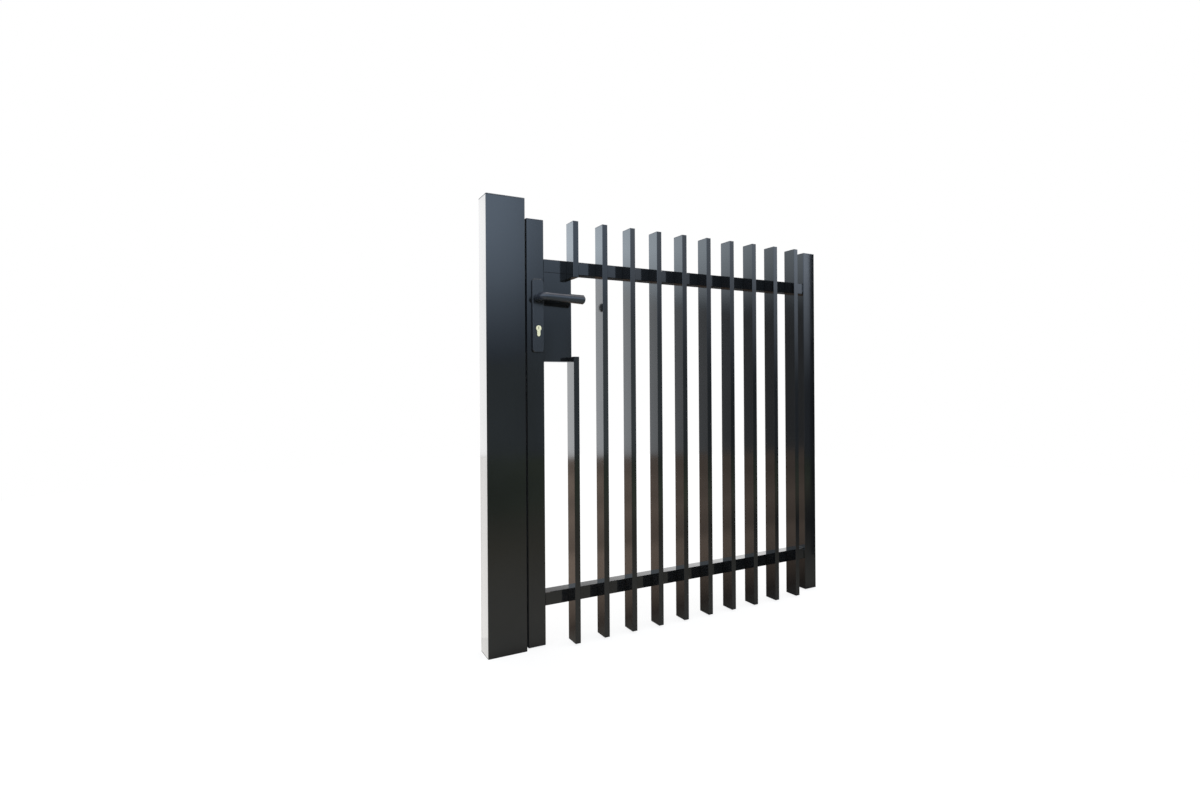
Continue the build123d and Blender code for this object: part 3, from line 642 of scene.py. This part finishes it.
rail_welds = bmesh.new()
for rail in RAIL_NAMES:
    low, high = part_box(rail)
    for x, inward in ((low[0], RIGHT), (high[0], LEFT)):
        for y, outward in ((low[1], FRONT), (high[1], REAR)):
            weld_bead(rail_welds, along_z(low, high, x, y), inward, outward)
        for z, upward in ((low[2], DOWN), (high[2], UP)):
            # The lock box fills the corner below the top rail
            if rail == "top_rail" and inward == RIGHT and upward == DOWN:
                continue
            weld_bead(rail_welds, along_y(low, high, x, z), inward, upward)
add_piece("rail_welds", rail_welds, gate_coat, "gate_coating", "leaf")

box_low, box_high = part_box("lock_box")
box_welds = bmesh.new()
for y, outward in ((box_low[1], FRONT), (box_high[1], REAR)):
    for share in STITCH_SHARES:
        middle = box_low[2] + share * (box_high[2] - box_low[2])
        stitch = (
            (box_low[0], y, middle - STITCH / 2),
            (box_low[0], y, middle + STITCH / 2),
        )
        weld_bead(box_welds, stitch, RIGHT, outward)
weld_bead(box_welds, along_y(box_low, box_high, box_low[0], box_low[2]), RIGHT, DOWN)
add_piece("box_welds", box_welds, gate_coat, "gate_coating", "leaf")

# Stage: floor, world and panels. Tints of the light, as shares of red, green and blue
PLAIN = (1.0, 1.0, 1.0)
SKY_TINT = (0.79, 1.0, 1.28)
BACK_TINT = (0.88, 1.0, 1.11)
HAZE_TINT = (0.95, 1.0, 1.05)
FRONT_TINT = (0.84, 1.0, 1.06)
WARM_TINT = (1.09, 0.99, 0.92)
EARTH_TINT = (1.34, 1.0, 0.76)
GRASS_TINT = (0.85, 1.0, 0.62)
PATH_TINT = (1.12, 1.0, 0.68)
FOOT_TINT = (1.07, 1.0, 0.82)


def grey(level, tint=PLAIN):
    return rgb(*(level * share for share in tint))


WHITE = grey(1.0)


def ramp(tree, value, reach, stops):
    """A colour ramp over a reach of the value; a stop has its place, level and perhaps a tint."""
    low, high = reach
    made = node(tree, "ShaderNodeValToRGB", {"Fac": remap(tree, value, low, high, 0.0, 1.0)})
    elements = made.color_ramp.elements
    while len(elements) < len(stops):
        elements.new(0.5)
    for element, (at, *light) in zip(elements, stops):
        element.position = (at - low) / (high - low)
        element.color = grey(*light)
    return made.outputs["Color"]


def seen_directly(tree):
    """One for the rays that come from the camera, or through a clear piece."""
    rays = node(tree, "ShaderNodeLightPath").outputs
    return math_node(tree, "MAXIMUM", rays["Is Camera Ray"], rays["Is Transmission Ray"])


FLOOR_RADIUS = 5.0
FLOOR_SIDES = 96
FLOOR_LEVEL = -0.0003
FLOOR_COLOUR = rgb(0.96, 0.93, 0.89)
FLOOR_GLOW_SHARE = 0.84
FLOOR_DEPTH = (-3.0, 4.0)
FLOOR_WIDTH = (-3.0, 3.0)
NEAR_EDGE = (-2.2, -1.0)

# The ground that reflections see, from front to back along Y, and its shares along X. The dip
# just behind the gate is a painted shadow of the gate.
GROUND_STOPS = (
    (-2.9, 0.14, GRASS_TINT),
    (-2.2, 0.18, GRASS_TINT),
    (-1.15, 0.31, PATH_TINT),
    (-0.45, 0.43, FOOT_TINT),
    (-0.10, 0.50, FOOT_TINT),
    # Painted shadow of the gate: the ground is darker close behind it
    (0.06, 0.20, EARTH_TINT),
    (0.16, 0.32, EARTH_TINT),
    (0.50, 0.53, EARTH_TINT),
    (0.78, 0.53, EARTH_TINT),
    (0.95, 0.34, EARTH_TINT),
    (1.25, 0.39, EARTH_TINT),
    (1.55, 0.47, EARTH_TINT),
    (2.00, 0.36, EARTH_TINT),
    (2.40, 0.45, EARTH_TINT),
    (3.00, 0.60, EARTH_TINT),
)
NEAR_SHARES = ((-2.05, 0.55), (-1.60, 1.0), (-0.4, 1.0), (0.8, 0.5), (1.4, 0.12))
FAR_SHARES = ((0.0, 1.0), (1.1, 1.8), (1.5, 1.8), (2.3, 1.1))


def make_floor():
    """White to the camera, with the object's shadow; to reflections a ground, warmer behind, with
    a painted shadow of the gate close behind it.
    """
    mesh = bpy.data.meshes.new("floor")
    shape = bmesh.new()
    bmesh.ops.create_circle(shape, cap_ends=True, radius=FLOOR_RADIUS, segments=FLOOR_SIDES)
    shape.to_mesh(mesh)
    shape.free()
    floor = bpy.data.objects.new("floor", mesh)
    floor.location.z = FLOOR_LEVEL
    scene.collection.objects.link(floor)
    material, tree = bare_material("floor")
    place = node(tree, "ShaderNodeTexCoord").outputs["Object"]
    parts = node(tree, "ShaderNodeSeparateXYZ", {"Vector": place}).outputs
    across = ramp(tree, parts["Y"], FLOOR_DEPTH, GROUND_STOPS)
    near_side = ramp(tree, parts["X"], FLOOR_WIDTH, NEAR_SHARES)
    far_side = ramp(tree, parts["X"], FLOOR_WIDTH, FAR_SHARES)
    nearness = remap(tree, parts["Y"], *NEAR_EDGE, 0.0, 1.0, smooth=True)
    sideways = mix_colour(tree, nearness, far_side, near_side)
    ground = mix_colour(tree, 1.0, across, sideways, "MULTIPLY")
    direct = seen_directly(tree)
    colour = mix_colour(tree, direct, ground, FLOOR_COLOUR)
    pale = node(tree, "ShaderNodeBsdfDiffuse", {"Color": colour}).outputs[0]
    glow = node(tree, "ShaderNodeEmission", {"Color": WHITE, "Strength": 1.0}).outputs[0]
    share = math_node(tree, "MULTIPLY", direct, FLOOR_GLOW_SHARE)
    both = node(tree, "ShaderNodeMixShader", {0: share, 1: pale, 2: glow}).outputs[0]
    node(tree, "ShaderNodeOutputMaterial", {"Surface": both})
    mesh.materials.append(material)
    floor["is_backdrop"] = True


# The studio that reflections see: by height, and by the turn in degrees from straight behind
ALL_ROUND = (-180.0, 180.0)
SKY_HEIGHT = (0.0, 1.0)
HAZE_STOPS = (
    (-110.0, 0.45, HAZE_TINT),
    (-46.0, 0.25, HAZE_TINT),
    (-39.0, 0.36, HAZE_TINT),
    (-34.0, 0.95, HAZE_TINT),
    (-29.0, 2.3, HAZE_TINT),
    (-17.0, 4.0),
    (2.0, 2.2, HAZE_TINT),
    (12.0, 0.45, HAZE_TINT),
    (60.0, 0.40, HAZE_TINT),
    (130.0, 0.08, FRONT_TINT),
    (134.5, 0.08, FRONT_TINT),
    (137.0, 0.15, FRONT_TINT),
    (141.0, 0.15, FRONT_TINT),
    (145.0, 0.30, FRONT_TINT),
    (149.5, 0.80, FRONT_TINT),
    (152.0, 0.88, FRONT_TINT),
    (154.5, 0.34, FRONT_TINT),
    (156.0, 0.80, SKY_TINT),
    (157.5, 0.36, FRONT_TINT),
    (162.0, 0.44, FRONT_TINT),
)
ZENITH_STOPS = ((0.84, 1.00), (0.90, 2.0), (1.00, 2.2))
FRONT_SKY = (
    (0.00, 0.14, SKY_TINT),
    (0.05, 0.48, SKY_TINT),
    (0.09, 0.86, SKY_TINT),
    (0.14, 1.40, SKY_TINT),
    (0.17, 1.90, SKY_TINT),
    (0.23, 2.50, SKY_TINT),
    (0.28, 2.75, SKY_TINT),
    (0.45, 1.75, SKY_TINT),
    (0.75, 0.95),
) + ZENITH_STOPS
FRONT_SHARES = (
    (-170.0, 1.0),
    (134.0, 1.45, WARM_TINT),
    (136.5, 1.10, WARM_TINT),
    (140.0, 0.76, WARM_TINT),
    (145.0, 0.57, WARM_TINT),
    (149.5, 0.70, WARM_TINT),
    (152.0, 0.62),
    (154.5, 0.66),
    (157.5, 0.58),
    (161.0, 1.0),
)
BACK_SKY = (
    (0.07, 0.0),
    (0.09, 0.05, BACK_TINT),
    (0.12, 0.68, BACK_TINT),
    (0.15, 1.97, BACK_TINT),
    (0.17, 2.6, BACK_TINT),
    (0.21, 3.5, BACK_TINT),
    (0.40, 2.2, BACK_TINT),
    (0.70, 1.0),
) + ZENITH_STOPS
BACK_SHARES = (
    (-60.0, 0.60),
    (-45.0, 0.60),
    (-43.0, 0.52),
    (-41.5, 0.74),
    (-39.5, 0.82),
    (-35.0, 0.97),
    (-30.0, 1.0),
)
RIGHT_SKY = (
    (0.00, 0.40, BACK_TINT),
    (0.10, 1.60, BACK_TINT),
    (0.20, 2.20),
    (0.253, 1.80),
    (0.260, 3.60),
    (0.270, 1.85),
    (0.288, 1.85),
    (0.296, 1.10),
    (0.303, 0.28),
    (0.312, 0.55),
    (0.345, 0.60),
    (0.37, 0.80),
    (0.50, 1.20),
    (0.75, 0.95),
) + ZENITH_STOPS

# Where one part of the studio passes into the next
BEHIND_EDGE = (-0.3, 0.3)
RIGHT_EDGE = (-6.0, 10.0)
LEFT_EDGE = (-0.1, 0.2)
HAZE_EDGE = (0.25, 0.5)
GROUND_EDGE = (-0.122, -0.108)
HAZE_ABOVE = 0.2
GROUND_LEFT = grey(0.6, EARTH_TINT)
GROUND_RIGHT = grey(0.05)
GROUND_FRONT = grey(0.15, GRASS_TINT)


def make_world():
    """White to the camera; to reflections, which tone the dark coat, a soft graded studio."""
    world = bpy.data.worlds.new("studio")
    scene.world = world
    world.use_nodes = True
    tree = world.node_tree
    tree.nodes.clear()
    direction = node(tree, "ShaderNodeTexCoord").outputs["Generated"]
    parts = node(tree, "ShaderNodeSeparateXYZ", {"Vector": direction}).outputs
    height = parts["Z"]
    azimuth = math_node(tree, "ARCTAN2", parts["X"], parts["Y"])
    turn = math_node(tree, "MULTIPLY", azimuth, 180.0 / math.pi)
    haze = ramp(tree, turn, ALL_ROUND, HAZE_STOPS)
    front_levels = ramp(tree, height, SKY_HEIGHT, FRONT_SKY)
    front_shares = ramp(tree, turn, ALL_ROUND, FRONT_SHARES)
    back_levels = ramp(tree, height, SKY_HEIGHT, BACK_SKY)
    back_shares = ramp(tree, turn, ALL_ROUND, BACK_SHARES)
    right_sky = ramp(tree, height, SKY_HEIGHT, RIGHT_SKY)
    front_sky = mix_colour(tree, 1.0, front_levels, front_shares, "MULTIPLY")
    back_sky = mix_colour(tree, 1.0, back_levels, back_shares, "MULTIPLY")
    behind = remap(tree, parts["Y"], *BEHIND_EDGE, 0.0, 1.0, smooth=True)
    right = remap(tree, turn, *RIGHT_EDGE, 0.0, 1.0, smooth=True)
    left = remap(tree, parts["X"], *LEFT_EDGE, 1.0, 0.0, smooth=True)
    sky = mix_colour(tree, behind, front_sky, mix_colour(tree, right, back_sky, right_sky))
    earth = mix_colour(tree, left, GROUND_RIGHT, GROUND_LEFT)
    ground = mix_colour(tree, behind, GROUND_FRONT, earth)
    fade = remap(tree, height, *HAZE_EDGE, 1.0, HAZE_ABOVE, smooth=True)
    fall = remap(tree, height, *GROUND_EDGE, 1.0, 0.0, smooth=True)
    low_haze = mix_colour(tree, fade, grey(0.0), haze)
    above = mix_colour(tree, 1.0, low_haze, sky, "LIGHTEN")
    studio = mix_colour(tree, fall, above, ground)
    colour = mix_colour(tree, seen_directly(tree), studio, WHITE)
    light = node(tree, "ShaderNodeBackground", {"Color": colour, "Strength": 1.0}).outputs[0]
    node(tree, "ShaderNodeOutputWorld", {"Surface": light})


make_floor()
make_world()

CARD_COLOUR = rgb(1.03, 1.01, 0.99)
PANEL_DARK = rgb(0.03, 0.03, 0.03)


def panel(name, corners, glow=0.0):
    """A flat studio panel that only reflections see: dark, or a pale card that glows."""
    mesh = bpy.data.meshes.new(name)
    mesh.from_pydata(corners, [], [(0, 1, 2, 3)])
    made = bpy.data.objects.new(name, mesh)
    scene.collection.objects.link(made)
    material, tree = bare_material(name)
    if glow:
        surface = node(tree, "ShaderNodeEmission", {"Color": CARD_COLOUR, "Strength": glow})
    else:
        surface = node(tree, "ShaderNodeBsdfDiffuse", {"Color": PANEL_DARK})
    node(tree, "ShaderNodeOutputMaterial", {"Surface": surface.outputs[0]})
    mesh.materials.append(material)
    made.visible_camera = False
    made.visible_diffuse = False
    made.visible_shadow = False
    made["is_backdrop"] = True


def upright(left, right, height):
    return [left, right, right + height, left + height]


# A dark panel off to the right darkens the outer edge of the hinge stile
FLAG_LEFT = Vector((0.979, -0.370, 0.0))
FLAG_RIGHT = Vector((1.379, -0.370, 0.0))
FLAG_HEIGHT = Vector((0.0, 0.0, 2.20))
panel("dark_panel", upright(FLAG_LEFT, FLAG_RIGHT, FLAG_HEIGHT))

# Two cards stand for the pale wall that the post's left side reflects: one upright close behind
# it, one on the floor between the two. A screen hides the upright one from the back of the post
CARD_FOOT = Vector((-0.7063, 0.120, 0.0))
CARD_SIDE = Vector((0.953, 0.304, 0.0))
CARD_WIDTH = 0.026
CARD_HEIGHT = Vector((0.0, 0.0, 0.5625))
CARD_RADIANCE = 3.14
SCREEN_FOOT = Vector((-0.6675, 0.0365, 0.0))
SCREEN_HEIGHT = CARD_HEIGHT * 1.06
SCREEN_RADIANCE = 0.35
FLOOR_CARD_LIFT = Vector((0.0, 0.0, 0.001))
FLOOR_CARD_REACH = Vector((0.0, 0.045, 0.0))
FLOOR_CARD_GAP = 0.0005
FLOOR_CARD_RADIANCE = 2.78
card_left = CARD_FOOT - CARD_SIDE * (CARD_WIDTH / 2)
card_right = CARD_FOOT + CARD_SIDE * (CARD_WIDTH / 2)
beside_post = Vector((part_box("lock_post")[0].x - FLOOR_CARD_GAP, 0.0, 0.0))
floor_card = [
    beside_post - FLOOR_CARD_REACH,
    beside_post + FLOOR_CARD_REACH,
    card_right,
    card_left,
]
panel("post_card", upright(card_left, card_right, CARD_HEIGHT), CARD_RADIANCE)
panel("card_screen", upright(SCREEN_FOOT, card_right, SCREEN_HEIGHT), SCREEN_RADIANCE)
panel("post_card_low", [corner + FLOOR_CARD_LIFT for corner in floor_card], FLOOR_CARD_RADIANCE)

low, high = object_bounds()
